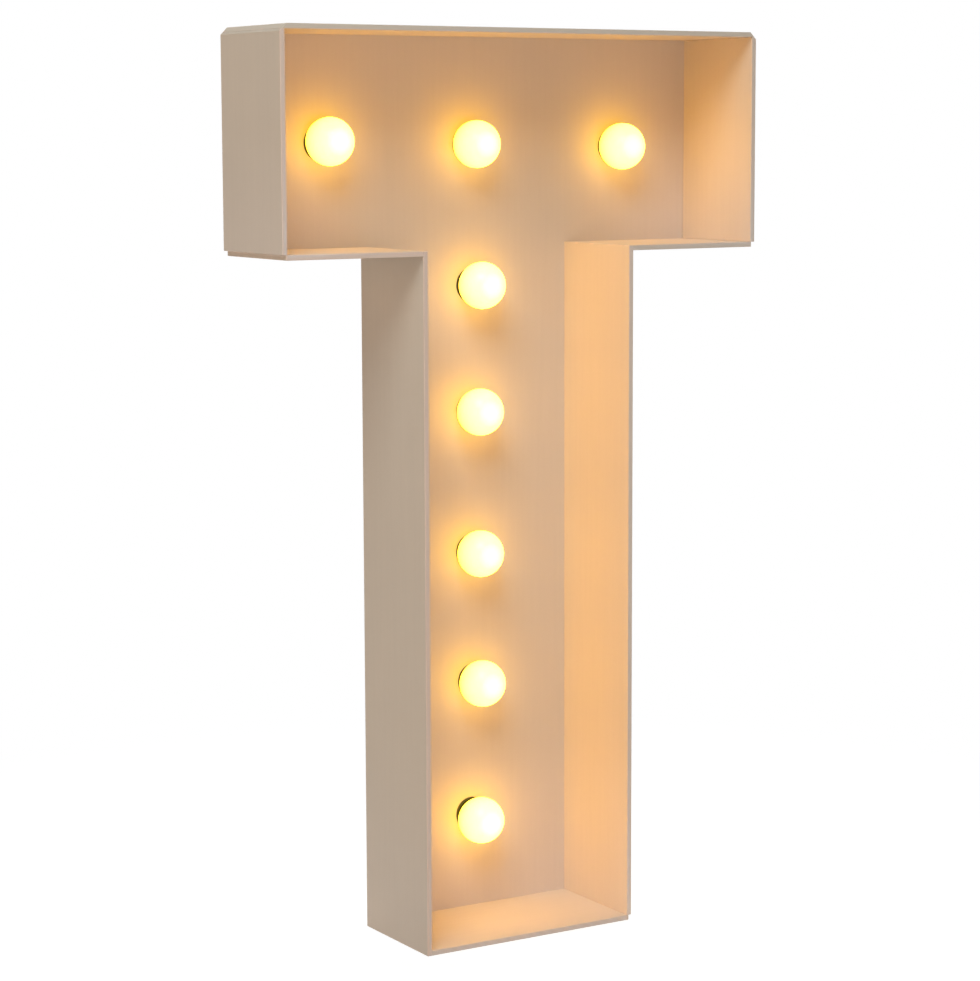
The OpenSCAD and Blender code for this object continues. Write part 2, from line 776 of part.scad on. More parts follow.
// An outline with round ends, as wide and as high as given, round the inlet's middle
module round_ended(w, h) {
    translate([-service_x, service_z]) {
        square([w - h, h], center = true);
        for (side = [-1, 1])
            translate([side * (w - h) / 2, 0]) circle(d = h);
    }
}

// The inlet: a flange on the cover's outside, a body through it and a socket for a two-pin lead
module inlet_body() {
    face_y = cover_y + inlet_flange_t;
    back_y = cover_y - inlet_body_d;
    color(black_plastic) difference() {
        union() {
            slab(cover_y, inlet_flange_t) round_ended(inlet_w, inlet_h);
            translate([-service_x - inlet_body_w / 2, back_y, service_z - inlet_body_h / 2])
                cube([inlet_body_w, inlet_body_d + inlet_flange_t / 2, inlet_body_h]);
        }
        slab(face_y - socket_d, socket_d + cut) round_ended(socket_w, socket_h);
        for (side = [-1, 1]) {
            at_rear(-service_x + side * inlet_pin_pitch / 2, back_y - cut, service_z)
                cylinder(d = inlet_pin_d + 2 * screw_gap, h = inlet_back + 2 * cut);
            at_rear(-service_x + side * inlet_screw_x, cover_y - cut, service_z)
                cylinder(r = screw_d / 2 + screw_gap, h = inlet_flange_t + 2 * cut);
        }
    }
}

// Contact pins in the socket, each with a solder tab behind the body
module inlet_pins() {
    back_y = cover_y - inlet_body_d;
    pin_len = inlet_back + socket_d - inlet_pin_short;
    color(nickel)
        for (side = [-1, 1]) {
            x = -service_x + side * inlet_pin_pitch / 2;
            at_rear(x, back_y - cut, service_z) cylinder(d = inlet_pin_d, h = pin_len + cut);
            translate([x - tab_t / 2, inlet_tab_y, service_z - tab_w / 2]) cube([tab_t, tab_len, tab_w]);
        }
}

module inlet_screws() {
    color(steel)
        for (side = [-1, 1])
            at_rear(-service_x + side * inlet_screw_x, cover_y + inlet_flange_t, service_z)
                screw(inlet_screw_len);
}

top_panel();
bar_left_panel();
bar_right_panel();
bar_underside_left();
bar_underside_right();
stem_left_panel();
stem_right_panel();
bottom_panel();
light_panel();
rear_cover();
rear_cover_screws();
for (i = bulbs) lampholder(i);
lampholder_caps();
lampholder_shells();
lampholder_contacts();
lampholder_terminals();
lampholder_terminal_screws();
lampholder_screws();
lampholder_cap_screws();
for (i = bulbs) bulb_globe(i);
for (i = bulbs) bulb_cap(i);
for (i = bulbs) bulb_led(i);
cable_links();
terminal_block();
lead_wires();
switch_body();
switch_rocker();
switch_terminals();
inlet_body();
inlet_pins();
inlet_screws();
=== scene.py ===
"""Finishes and stage of a free-standing light-up letter: painted boards, lit opal bulbs on a light
panel, and a wiring cover with a switch and an inlet behind. Metres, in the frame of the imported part."""

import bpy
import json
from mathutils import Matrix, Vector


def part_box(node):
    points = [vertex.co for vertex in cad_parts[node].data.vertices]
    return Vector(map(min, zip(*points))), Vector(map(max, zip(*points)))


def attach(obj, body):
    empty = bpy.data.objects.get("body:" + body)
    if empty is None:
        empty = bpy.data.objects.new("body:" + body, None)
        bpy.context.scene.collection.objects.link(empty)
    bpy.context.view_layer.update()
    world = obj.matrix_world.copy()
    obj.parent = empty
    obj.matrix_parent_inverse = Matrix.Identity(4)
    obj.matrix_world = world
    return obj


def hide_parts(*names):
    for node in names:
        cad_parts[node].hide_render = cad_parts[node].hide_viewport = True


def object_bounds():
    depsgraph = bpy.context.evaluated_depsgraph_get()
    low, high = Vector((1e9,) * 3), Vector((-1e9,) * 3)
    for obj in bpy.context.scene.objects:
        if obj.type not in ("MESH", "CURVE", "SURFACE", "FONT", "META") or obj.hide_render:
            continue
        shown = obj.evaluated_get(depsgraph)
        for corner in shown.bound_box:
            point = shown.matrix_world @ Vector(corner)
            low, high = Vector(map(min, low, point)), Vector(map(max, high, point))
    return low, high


bl_info = {
    "name": "Light-up letter",
    "version": (1, 0, 0),
    "blender": (4, 5, 0),
    "location": "View3D > Sidebar > Letter",
    "description": "Dresses the pieces of a light-up letter and sets its stage",
    "category": "Object",
}

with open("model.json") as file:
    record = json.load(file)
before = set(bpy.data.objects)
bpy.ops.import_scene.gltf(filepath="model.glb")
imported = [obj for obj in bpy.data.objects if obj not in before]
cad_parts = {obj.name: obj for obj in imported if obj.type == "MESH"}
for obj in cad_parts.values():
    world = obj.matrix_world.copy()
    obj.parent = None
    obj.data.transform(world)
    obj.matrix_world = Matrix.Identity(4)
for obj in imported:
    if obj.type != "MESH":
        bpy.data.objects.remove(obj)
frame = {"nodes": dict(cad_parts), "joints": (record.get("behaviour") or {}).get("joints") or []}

import json
import math

import bmesh
import bpy
from mathutils import Matrix, Vector

CAD_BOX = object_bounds()
MM = 0.001
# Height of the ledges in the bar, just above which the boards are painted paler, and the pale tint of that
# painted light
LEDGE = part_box("bar_underside_left")[1].z
PAINTED_LIGHT_TINT = (0.76, 0.66, 0.62)
# Hottest light of a globe, its glass where it is clearer and paler, and the dark unlit band of painted
# shade at its neck
HOT_LIGHT = (1.0, 0.52, 0.06)
CLEAR_GLASS = (0.5, 0.45, 0.36)
PALE_GLASS = (0.54, 0.5, 0.42)
PAINTED_NECK_SHADE = (0.03, 0.026, 0.022)
UNLIT = (0.0, 0.0, 0.0)
# Steel of the screws behind, bright and dull
STEEL = ((0.6, 0.61, 0.62), (0.42, 0.4, 0.37))
# Each bulb as the photo shows it: how bright it is against the others, how many degrees it sits askew,
# upwards and to the left, and how many millimetres of painted shade darken its neck
BULBS = {
    1: (1.09, 3, 0, 2.2),
    2: (1.01, 0, 5, 0.5),
    3: (0.98, 0, 5, 0.5),
    4: (1.0, 1, 0, 2.4),
    5: (1.0, 0, 5, 0.5),
    6: (1.0, 0, 3.5, 0.5),
    7: (1.0, 0.5, 3, 1.2),
    8: (1.2, -6, 1, 1.4),
}
# Direction in which each board was rolled, how strongly its front edge is lightened as a painted highlight
# (strongest on the left boards that face the lamps), and its tone, raised on the stem's right board as
# painted light
BOARDS = {
    "top_panel": ("x", 0.1, 1.0),
    "bar_left_panel": ("z", 0.75, 0.97),
    "bar_right_panel": ("z", 0.3, 1.0),
    "bar_underside_left": ("x", 0.75, 1.0),
    "bar_underside_right": ("x", 0.2, 1.0),
    "stem_left_panel": ("z", 0.75, 0.97),
    # Its tone of 1.07 is painted light: the stem's right inner wall is painted lighter than the other
    # boards
    "stem_right_panel": ("z", 0.3, 1.07),
    "bottom_panel": ("x", 0.3, 1.0),
}
# How far the wall of the wiring cover is set in from the letter's outline
COVER_IN = 32.0 * MM
# Where each lamp stands, how wide it is, its power as a share of the key lamp's, and its colour
LAMPS = {
    "Key lamp": ((-1.32, -1.58, 2.9), 1.8, 1.0, (0.82, 0.96, 1.0)),
    "Side fill": ((-3.17, 0.0, 0.9), 1.3, 0.33, (1.0, 0.7, 0.48)),
    "Front fill": ((-0.9, -3.0, 0.45), 1.3, 0.28, (1.0, 0.83, 0.76)),
    "Right fill": ((2.9, 0.7, 1.5), 1.3, 0.35, (1.0, 0.9, 0.8)),
    "Back lamp": ((1.3, 2.5, 2.0), 1.6, 0.9, (1.0, 0.96, 0.91)),
}


# Shader maths


class Value:
    """One output of a node. Arithmetic on it adds the nodes that work the result out."""

    def __init__(self, nodes, socket):
        self.nodes = nodes
        self.socket = socket

    def _with(self, operation, first, second):
        if self.socket.type == "RGBA":
            settings = {"data_type": "RGBA", "blend_type": operation}
            return self.nodes.add("ShaderNodeMix", settings, {0: 1.0, 6: first, 7: second}, out=2)
        kind = "ShaderNodeVectorMath" if self.socket.type == "VECTOR" else "ShaderNodeMath"
        return self.nodes.add(kind, {"operation": operation}, {0: first, 1: second})

    def __add__(self, other):
        return self._with("ADD", self, other)

    def __radd__(self, other):
        return self._with("ADD", other, self)

    def __sub__(self, other):
        return self._with("SUBTRACT", self, other)

    def __rsub__(self, other):
        return self._with("SUBTRACT", other, self)

    def __mul__(self, other):
        return self._with("MULTIPLY", self, other)

    def __rmul__(self, other):
        return self._with("MULTIPLY", other, self)

    def least(self, other):
        return self._with("MINIMUM", self, other)

    def most(self, other):
        return self._with("MAXIMUM", self, other)

    def part(self, index):
        """Another output of the same node."""
        return Value(self.nodes, self.socket.node.outputs[index])

    def rise(self, low, high):
        """0 below low, 1 above high and smooth between them."""
        inputs = {"Value": self, "From Min": low, "From Max": high}
        return self.nodes.add("ShaderNodeMapRange", {"interpolation_type": "SMOOTHSTEP"}, inputs)


class Nodes:
    """The nodes of a material or of the world, added through one method."""

    def __init__(self, owner):
        owner.use_nodes = True
        self.owner = owner
        self.tree = owner.node_tree
        self.tree.nodes.clear()

    def add(self, kind, settings=None, inputs=None, out=0):
        """A node of a type, its settings first and then the values or links of its sockets."""
        made = self.tree.nodes.new(kind)
        for key, value in (settings or {}).items():
            setattr(made, key, value)
        for key, value in (inputs or {}).items():
            self.feed(made.inputs[key], value)
        return Value(self, made.outputs[out]) if made.outputs else None

    def feed(self, socket, value):
        if isinstance(value, Value):
            self.tree.links.new(value.socket, socket)
        elif socket.type == "RGBA":
            socket.default_value = [*value, 1.0]
        else:
            socket.default_value = value

    def place(self):
        """Where a point lies on its piece, in metres of the part's frame at rest."""
        return self.add("ShaderNodeTexCoord", out="Object")

    def noise(self, place, scale, detail=2.0):
        inputs = {"Vector": place, "Scale": scale, "Detail": detail}
        return self.add("ShaderNodeTexNoise", inputs=inputs)

    def blend(self, factor, first, second):
        inputs = {0: factor, 6: first, 7: second}
        return self.add("ShaderNodeMix", {"data_type": "RGBA"}, inputs, out=2)

    def bump(self, height, depth, strength):
        inputs = {"Height": height, "Distance": depth, "Strength": strength}
        return self.add("ShaderNodeBump", inputs=inputs)

    def surface(self, inputs):
        """Ends a material in one principled shader and returns the material."""
        shader = self.add("ShaderNodeBsdfPrincipled", inputs=inputs)
        self.add("ShaderNodeOutputMaterial", inputs={"Surface": shader})
        return self.owner


def new_material(name):
    return Nodes(bpy.data.materials.new(name))


# Finishes


def painted_low_light(axes, low, high, cloud):
    """How much painted light makes the boards paler low in the stem and just above the bar's ledges, with
    less on the outer faces.
    """
    side = axes.part(0).most(0.0 - axes.part(0))
    height = axes.part(2)
    outer = max(abs(low.x), abs(high.x))
    indoors = 1.0 - 0.65 * side.rise(outer - 3 * MM, outer - 1 * MM)
    floor = 1.0 - height.rise(10 * MM, 210 * MM)
    ledge = height.rise(LEDGE - 5 * MM, LEDGE) * (1.0 - height.rise(LEDGE, LEDGE + 130 * MM))
    ledge = ledge * side.rise(110 * MM, 250 * MM)
    return floor.most(ledge) * indoors * (0.34 + 0.3 * cloud)


def board_paint(name, colour, bare, low, high, along, edge_highlight=0.0, shade=1.0):
    """Rolled paint on a board with a painted highlight on its front edge, rubbed along all edges, and
    painted paler low down as painted light.
    """
    nodes = new_material(name)
    place = nodes.place()
    axes = nodes.add("ShaderNodeSeparateXYZ", inputs={"Vector": place})
    a, b, c = [(axes.part(k) - low[k]).least(high[k] - axes.part(k)) for k in range(3)]
    from_edge = a.least(b).most(a.most(b).least(c))
    stretch = (0.04, 1.0, 1.0) if along == "x" else (1.0, 1.0, 0.04)
    streak = nodes.noise(place * stretch, scale=210.0, detail=3.0)
    cloud = nodes.noise(place, scale=7.0, detail=3.0)
    stipple = nodes.noise(place, scale=620.0)
    patch = nodes.noise(place, scale=95.0, detail=4.0)
    rubbed = (1.0 - from_edge.rise(0.3 * MM, 2.2 * MM)) * patch.rise(0.5, 0.66)
    # The shade factor scales the board's tone; on the stem's right board it is painted light
    tone = shade * (0.9 + 0.1 * cloud + 0.05 * streak + 0.05 * stipple)
    # Lightens the front edge toward the bare-board colour: a painted highlight, strongest on the left
    # boards
    painted_edge_highlight = (1.0 - axes.part(1).rise(low.y + 0.2 * MM, low.y + 1.0 * MM)) * edge_highlight
    worn = nodes.blend((rubbed * 0.4).most(painted_edge_highlight), colour, bare)
    # Blends the boards toward a pale tint low down and above the ledges: painted light
    painted = nodes.blend(painted_low_light(axes, low, high, cloud), worn, PAINTED_LIGHT_TINT) * tone
    relief = 0.6 * stipple + 0.3 * streak + 0.1 * patch
    return nodes.surface(
        {
            "Base Color": painted,
            "Roughness": 0.4 + 0.22 * cloud + 0.12 * stipple,
            "Specular IOR Level": 0.35,
            "Normal": nodes.bump(relief, depth=0.12 * MM, strength=0.5),
        }
    )


def lit_opal(name, centre, radius, neck_shade, glow, neck_glow, strength):
    """Opal glass lit from inside: whitest at the front, amber towards the neck, and dark and unlit at the
    neck as painted shade.
    """
    nodes = new_material(name)
    place = nodes.place()
    depth = nodes.add("ShaderNodeSeparateXYZ", inputs={"Vector": place}).part(1)
    cloud = nodes.noise(place, scale=70.0)
    white = 1.0 - depth.rise(centre - 1.03 * radius, centre - 0.78 * radius)
    amber = depth.rise(centre - 0.8 * radius, centre + 0.85 * radius)
    # Mask of the painted shade at the neck, where the glass is dark and gives no light
    neck_shade_mask = depth.rise(neck_shade, neck_shade + 0.8 * MM)
    light = nodes.blend(white, nodes.blend(amber, glow, neck_glow), HOT_LIGHT)
    light = light * (0.94 + 0.12 * cloud)
    glass = nodes.blend(cloud, CLEAR_GLASS, PALE_GLASS)
    return nodes.surface(
        {
            "Base Color": nodes.blend(neck_shade_mask, glass, PAINTED_NECK_SHADE),
            "Roughness": 0.28 + 0.16 * cloud,
            "Emission Color": nodes.blend(neck_shade_mask, light, UNLIT),
            "Emission Strength": strength,
            "Normal": nodes.bump(nodes.noise(place, scale=900.0), depth=0.02 * MM, strength=0.4),
        }
    )


def moulded(name, colour, roughness, grain, depth, shade=0.06):
    """Moulded plastic with a fine grain and a faint unevenness of tone and gloss."""
    nodes = new_material(name)
    place = nodes.place()
    spark = nodes.noise(place, grain)
    cloud = nodes.noise(place, scale=22.0, detail=4.0)
    dust = nodes.noise(place, scale=160.0, detail=4.0).rise(0.56, 0.75)
    tone = 1.0 - shade + 2 * shade * cloud
    return nodes.surface(
        {
            "Base Color": nodes.blend(dust * 0.05, colour, (0.55, 0.5, 0.44)) * tone,
            "Roughness": roughness + 0.2 * (cloud - 0.5) + 0.14 * (spark - 0.5) + 0.1 * dust,
            "Normal": nodes.bump(spark, depth, strength=0.55),
        }
    )


def bright_metal(name, colour, dull, roughness):
    """Rolled or plated metal with fine lines, duller where it has been handled."""
    nodes = new_material(name)
    place = nodes.place()
    stretch = (1.0, 0.08, 1.0)
    line = nodes.noise(place * stretch, scale=2400.0)
    film = nodes.noise(place, scale=190.0, detail=4.0).rise(0.42, 0.7)
    return nodes.surface(
        {
            "Base Color": nodes.blend(film * 0.6, colour, dull),
            "Metallic": 1.0 - 0.12 * film,
            "Roughness": roughness + 0.16 * film + 0.16 * (line - 0.5),
            "Normal": nodes.bump(line, depth=0.012 * MM, strength=0.35),
        }
    )


# Meshes


def add_piece(name, mesh, body, finishes, stands_for=(), sharp=None):
    """Makes a built mesh a piece of the letter that rides on a body of the frame."""
    bmesh.ops.recalc_face_normals(mesh, faces=mesh.faces)
    data = bpy.data.meshes.new(name)
    mesh.to_mesh(data)
    mesh.free()
    data.shade_smooth()
    if sharp:
        data.set_sharp_from_angle(angle=math.radians(sharp))
    for finish in finishes:
        data.materials.append(finish)
    made = bpy.data.objects.new(name, data)
    bpy.context.scene.collection.objects.link(made)
    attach(made, body)
    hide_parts(*stands_for)
    return made


def keep_flats(made):
    """Lets the broad faces of a piece decide its shading, so that only its edges look round."""
    made.modifiers.new("Flat faces", "WEIGHTED_NORMAL").keep_sharp = True


def dress(node, finish):
    """Gives a piece whose CAD shape is right its finish."""
    materials = frame["nodes"][node].data.materials
    materials.clear()
    materials.append(finish)


def add_ring(mesh, points):
    return [mesh.verts.new(p) for p in points]


def bridge(mesh, rings, index=0):
    """Joins each ring of points to the next."""
    for near, far in zip(rings, rings[1:]):
        for k in range(len(near)):
            n = (k + 1) % len(near)
            mesh.faces.new((near[k], near[n], far[n], far[k])).material_index = index


def solid(mesh, rings, index=0):
    """Joins rings of points into a body that is closed at both ends."""
    bridge(mesh, rings, index)
    for ring in (rings[0], rings[-1]):
        mesh.faces.new(ring).material_index = index


def circle(turns):
    """Angles spaced evenly round a full turn."""
    return [2 * math.pi * k / turns for k in range(turns)]


def quarter(steps):
    """Angles from nothing to a right angle."""
    return [math.pi / 2 * k / steps for k in range(steps + 1)]


def lathe(mesh, axis, outline, turns=64, index=0, wave=None, close=(False, False)):
    """Turns an outline of (radius, depth) about a bulb's axis, with an optional wave in its radius."""
    rings = []
    for radius, depth in outline:
        ring = []
        for angle in circle(turns):
            r = radius + (wave(depth, angle) if wave else 0.0)
            ring.append((axis.x + r * math.cos(angle), depth, axis.z + r * math.sin(angle)))
        rings.append(add_ring(mesh, ring))
    bridge(mesh, rings, index)
    for end, ring in zip(close, (rings[0], rings[-1])):
        if end:
            mesh.faces.new(ring).material_index = index
    return rings


def rounded(width, height, radius, steps=8):
    """Points of a rectangle with round corners, anticlockwise round its middle."""
    points = []
    for corner, (sx, sz) in enumerate(((1, 1), (-1, 1), (-1, -1), (1, -1))):
        for k in range(steps + 1):
            angle = math.pi / 2 * (corner + k / steps)
            points.append(
                (
                    sx * (width / 2 - radius) + radius * math.cos(angle),
                    sz * (height / 2 - radius) + radius * math.sin(angle),
                )
            )
    return points


def add_shell(mesh, middle, sections, steps=8):
    """A closed body through rounded rectangles, each a width, a height, a corner radius and a depth."""
    rings = []
    for width, height, radius, depth in sections:
        corners = rounded(width, height, radius, steps)
        rings.append(add_ring(mesh, [(middle.x + x, depth, middle.z + z) for x, z in corners]))
    solid(mesh, rings)


def cad_mesh(node):
    """A copy of a CAD node's mesh with its faces joined at their edges."""
    mesh = bmesh.new()
    mesh.from_mesh(frame["nodes"][node].data)
    bmesh.ops.remove_doubles(mesh, verts=mesh.verts, dist=0.002 * MM)
    return mesh


def solids_of(node):
    """The box of each separate solid in a CAD node."""
    mesh = cad_mesh(node)
    boxes, seen = [], set()
    for first in mesh.verts:
        if first in seen:
            continue
        seen.add(first)
        group = [first]
        for vert in group:
            for edge in vert.link_edges:
                other = edge.other_vert(vert)
                if other not in seen:
                    seen.add(other)
                    group.append(other)
        low = Vector([min(v.co[k] for v in group) for k in range(3)])
        high = Vector([max(v.co[k] for v in group) for k in range(3)])
        boxes.append((low, high))
    mesh.free()
    return sorted(boxes, key=lambda box: tuple(round(x, 5) for x in box[0]))


def pan_head(mesh, box, turn):
    """A domed screw head with a cross recess over a plain shank, in the box of its CAD solid."""
    low, high = box
    middle = (low + high) / 2
    radius = (high.x - low.x) / 2
    height, shank = 2.0 * MM, 1.48 * MM
    seat = high.y - height
    half_long, half_wide, deep = 1.75 * MM, 0.45 * MM, 1.1 * MM
    side_slope, end_slope = 0.2 * MM, 0.5 * MM
    steps, angles = 12, circle(48)

    def recess(u, w):
        across = max(0.0, min(1.0, (half_wide - abs(w)) / side_slope + 0.5))
        along = max(0.0, min(1.0, (half_long - abs(u)) / end_slope))
        return across * along

    def crown(r, angle):
        u = r * math.cos(angle + turn)
        w = r * math.sin(angle + turn)
        dome = height * (1 - 0.42 * (r / radius) ** 2.4)
        return seat + dome - deep * max(recess(u, w), recess(w, u))

    def ring(r, depths):
        points = []
        for a, y in zip(angles, depths):
            points.append((middle.x + r * math.cos(a), y, middle.z + r * math.sin(a)))
        return add_ring(mesh, points)

    rings = []
    for k in range(1, steps + 1):
        r = radius * (k / steps) ** 0.9
        rings.append(ring(r, [crown(r, a) for a in angles]))
    for r, y in ((radius, seat), (shank, seat), (shank, low.y)):
        rings.append(ring(r, [y] * len(angles)))
    solid(mesh, rings)


# Settings


class LetterFinish(bpy.types.PropertyGroup):
    """Colours of the letter's surfaces and the rounding of its boards"""

    paint: bpy.props.FloatVectorProperty(
        name="Paint",
        description="Colour of the painted boards and of the light panel",
        subtype="COLOR",
        size=3,
        min=0.0,
        max=1.0,
        default=(0.62, 0.516, 0.417),
    )
    # Also the colour toward which the front edges are lightened as a painted highlight
    bare_board: bpy.props.FloatVectorProperty(
        name="Bare board",
        description="Colour that shows where the paint is thin along an edge",
        subtype="COLOR",
        size=3,
        min=0.0,
        max=1.0,
        default=(0.8, 0.58, 0.47),
    )
    cover: bpy.props.FloatVectorProperty(
        name="Wiring cover",
        description="Colour of the moulded cover behind the light panel",
        subtype="COLOR",
        size=3,
        min=0.0,
        max=1.0,
        default=(0.66, 0.6, 0.52),
    )
    board_ease: bpy.props.FloatProperty(
        name="Board edges",
        description="Rounding of the boards' edges",
        unit="LENGTH",
        min=0.0001,
        max=0.002,
        default=0.0005,
    )


class LetterGlow(bpy.types.PropertyGroup):
    """Light of the bulbs"""

    front: bpy.props.FloatVectorProperty(
        name="Front of the globe",
        description="Colour of the light at the front of a globe",
        subtype="COLOR",
        size=3,
        min=0.0,
        max=1.0,
        default=(1.0, 0.49, 0.036),
    )
    neck: bpy.props.FloatVectorProperty(
        name="Neck of the globe",
        description="Colour of the light where a globe meets its lampholder",
        subtype="COLOR",
        size=3,
        min=0.0,
        max=1.0,
        default=(0.175, 0.12, 0.002),
    )
    strength: bpy.props.FloatProperty(
        name="Strength",
        description="Brightness of the lit globes",
        min=0.0,
        max=40.0,
        default=13.3,
    )


class LetterStage(bpy.types.PropertyGroup):
    """Studio light and the camera"""

    room_light: bpy.props.FloatVectorProperty(
        name="Room light",
        description="Soft light that reaches the letter from all sides",
        subtype="COLOR",
        size=3,
        min=0.0,
        max=2.0,
        default=(0.06, 0.06, 0.06),
    )
    lamp_power: bpy.props.FloatProperty(
        name="Key lamp",
        description="Power of the broad soft lamp above, to the left and in front",
        unit="POWER",
        min=0.0,
        default=60.0,
    )
    camera_place: bpy.props.FloatVectorProperty(
        name="Camera place",
        description="Where the camera stands",
        subtype="TRANSLATION",
        unit="LENGTH",
        size=3,
        default=(-1.4184, -2.2992, 0.8001),
    )
    camera_yaw: bpy.props.FloatProperty(
        name="Camera yaw",
        description="How far the camera looks to the right of straight on",
        subtype="ANGLE",
        default=math.radians(31.494),
    )
    camera_pitch: bpy.props.FloatProperty(
        name="Camera pitch",
        description="How far the camera looks down",
        subtype="ANGLE",
        default=math.radians(7.482),
    )
    camera_roll: bpy.props.FloatProperty(
        name="Camera roll",
        description="How far the camera leans to its right",
        subtype="ANGLE",
        default=math.radians(0.186),
    )
    lens: bpy.props.FloatProperty(
        name="Lens",
        description="Focal length of the camera in millimetres on a 36 mm sensor",
        min=10.0,
        default=99.945,
    )


# Pieces


class LETTER_OT_boards(bpy.types.Operator):
    """Builds the painted boards of the case and paints the light panel"""

    bl_idname = "letter.boards"
    bl_label = "Boards and light panel"

    def execute(self, context):
        look = context.scene.letter_finish
        for node, (along, edge_highlight, shade) in BOARDS.items():
            low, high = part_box(node)
            paint = board_paint(
                f"{node}_paint", look.paint, look.bare_board, low, high, along, edge_highlight, shade
            )
            mesh = cad_mesh(node)
            bmesh.ops.dissolve_limit(
                mesh, angle_limit=math.radians(1.0), verts=mesh.verts, edges=mesh.edges
            )
            bmesh.ops.bevel(
                mesh,
                geom=mesh.edges[:],
                offset=look.board_ease,
                segments=3,
                profile=0.5,
                affect="EDGES",
            )
            keep_flats(
                add_piece(f"{node}_board", mesh, "case", [paint], [node])
            )
        low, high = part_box("light_panel")
        dress("light_panel", board_paint("panel_paint", look.paint, look.paint, low, high, "z"))
        return {"FINISHED"}


class LETTER_OT_bulbs(bpy.types.Operator):
    """Builds the lit globes and the threaded caps of the bulbs and finishes their cores"""

    bl_idname = "letter.bulbs"
    bl_label = "Bulbs"

    def execute(self, context):
        glow = context.scene.letter_glow
        nickel = bright_metal("cap_nickel", (0.72, 0.7, 0.65), (0.45, 0.41, 0.35), roughness=0.24)
        insulator = moulded(
            "cap_insulator", (0.02, 0.018, 0.017), roughness=0.18, grain=900.0, depth=0.01 * MM
        )
        solder = bright_metal("cap_solder", (0.6, 0.6, 0.6), (0.42, 0.41, 0.4), roughness=0.42)
        core = moulded(
            "core_plastic", (0.78, 0.76, 0.72), roughness=0.45, grain=1400.0, depth=0.02 * MM
        )
        for k in BULBS:
            self.add_globe(k, glow)
            self.add_cap(k, [nickel, insulator, solder])
            dress(f"bulb_led_{k}", core)
        return {"FINISHED"}

    def add_globe(self, k, glow):
        """A globe that runs in one soft curve into its neck."""
        low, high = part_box(f"bulb_globe_{k}")
        axis = (low + high) / 2
        radius = (high.x - low.x) / 2
        neck, neck_end, fillet = 14.0 * MM, 10.8 * MM, 4.0 * MM
        ease, clear, pivot_in = 0.3 * MM, 0.05 * MM, 2.0 * MM
        ball_steps, fillet_steps = 40, 8
        bright, up, left, neck_shade = BULBS[k]
        centre = low.y + radius
        rise = math.sqrt((radius + fillet) ** 2 - (neck + fillet) ** 2)
        join = math.atan2(rise, neck + fillet)
        outline = []
        sweep = math.pi / 2 + join
        for n in range(1, ball_steps + 1):
            angle = -math.pi / 2 + sweep * n / ball_steps
            outline.append((radius * math.cos(angle), centre + radius * math.sin(angle)))
        for n in range(1, fillet_steps + 1):
            angle = join * (1 - n / fillet_steps)
            outline.append(
                (
                    neck + fillet - fillet * math.cos(angle),
                    centre + rise - fillet * math.sin(angle),
                )
            )
        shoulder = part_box(f"bulb_cap_{k}")[0].y
        outline += [(neck, shoulder - ease), (neck - ease, shoulder - clear)]
        outline += [(neck_end, shoulder - clear), (neck_end, high.y)]
        mesh = bmesh.new()
        rings = lathe(mesh, axis, outline, turns=96, close=(False, True))
        pole = mesh.verts.new((axis.x, low.y, axis.z))
        for a, b in zip(rings[0], rings[0][1:] + rings[0][:1]):
            mesh.faces.new((pole, b, a))
        pivot = Matrix.Translation((axis.x, shoulder - pivot_in, axis.z))
        lean = Matrix.Rotation(-math.radians(up), 4, "X") @ Matrix.Rotation(-math.radians(left), 4, "Z")
        mesh.transform(pivot @ lean @ pivot.inverted())
        # From the neck-shade depth on, the globe is darkened by painted shade
        opal = lit_opal(
            f"opal_glass_{k}",
            centre,
            radius,
            centre + rise - neck_shade * MM,
            glow.front,
            glow.neck,
            glow.strength * bright,
        )
        add_piece(
            f"bulb_{k}_globe", mesh, f"bulb_{k}", [opal], [f"bulb_globe_{k}"], sharp=40
        )

    def add_cap(self, k, finishes):
        """A screw cap with a rolled right-hand thread, a black insulator and a soldered tip."""
        low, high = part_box(f"bulb_cap_{k}")
        axis = (low + high) / 2
        rim = (high.x - low.x) / 2
        crest, groove, pitch = 13.1 * MM, 0.8 * MM, 3.63 * MM
        root = crest - groove
        bore = root - 0.6 * MM
        base = high.y - 5.5 * MM
        start = low.y + 2.1 * MM
        first, last = low.y + 2.6 * MM, base - 1.6 * MM
        turns, rows_per_pitch, ease = 72, 9, 0.3 * MM

        def thread(depth, angle):
            fade = max(0.0, min(1.0, (depth - first) / pitch, (last - depth) / pitch))
            turn = depth / pitch + angle / (2 * math.pi)
            return groove * fade * (0.5 + 0.5 * math.cos(2 * math.pi * turn))

        mesh = bmesh.new()
        sleeve = [(bore, base), (bore, low.y), (rim - ease, low.y), (rim, low.y + ease)]
        sleeve += [(rim, low.y + 1.7 * MM), (rim - ease, low.y + 2.0 * MM), (root, start)]
        lathe(mesh, axis, sleeve, turns, close=(True, False))
        steps = round((base - start) / pitch * rows_per_pitch)
        rows = [start + (base - start) * n / steps for n in range(steps + 1)]
        lathe(mesh, axis, [(root, y) for y in rows], turns, wave=thread)
        seam, foot = (root - 1.6 * MM, base + 0.7 * MM), (4.6 * MM, base + 3.5 * MM)
        lathe(mesh, axis, [(root, base), (root - 0.5 * MM, base + 0.5 * MM), seam], turns)
        glass = [seam, (9.0 * MM, base + 2.2 * MM), (5.2 * MM, base + 3.4 * MM), foot]
        lathe(mesh, axis, glass, turns, index=1)
        tip = [foot, (4.8 * MM, base + 3.5 * MM), (4.8 * MM, base + 4.3 * MM)]
        tip += [(4.2 * MM, base + 5.0 * MM), (2.6 * MM, base + 5.4 * MM), (0.8 * MM, high.y)]
        lathe(mesh, axis, tip, turns, index=2, close=(False, True))
        bmesh.ops.remove_doubles(mesh, verts=mesh.verts, dist=0.001 * MM)
        add_piece(f"bulb_{k}_cap", mesh, f"bulb_{k}", finishes, [f"bulb_cap_{k}"], sharp=50)


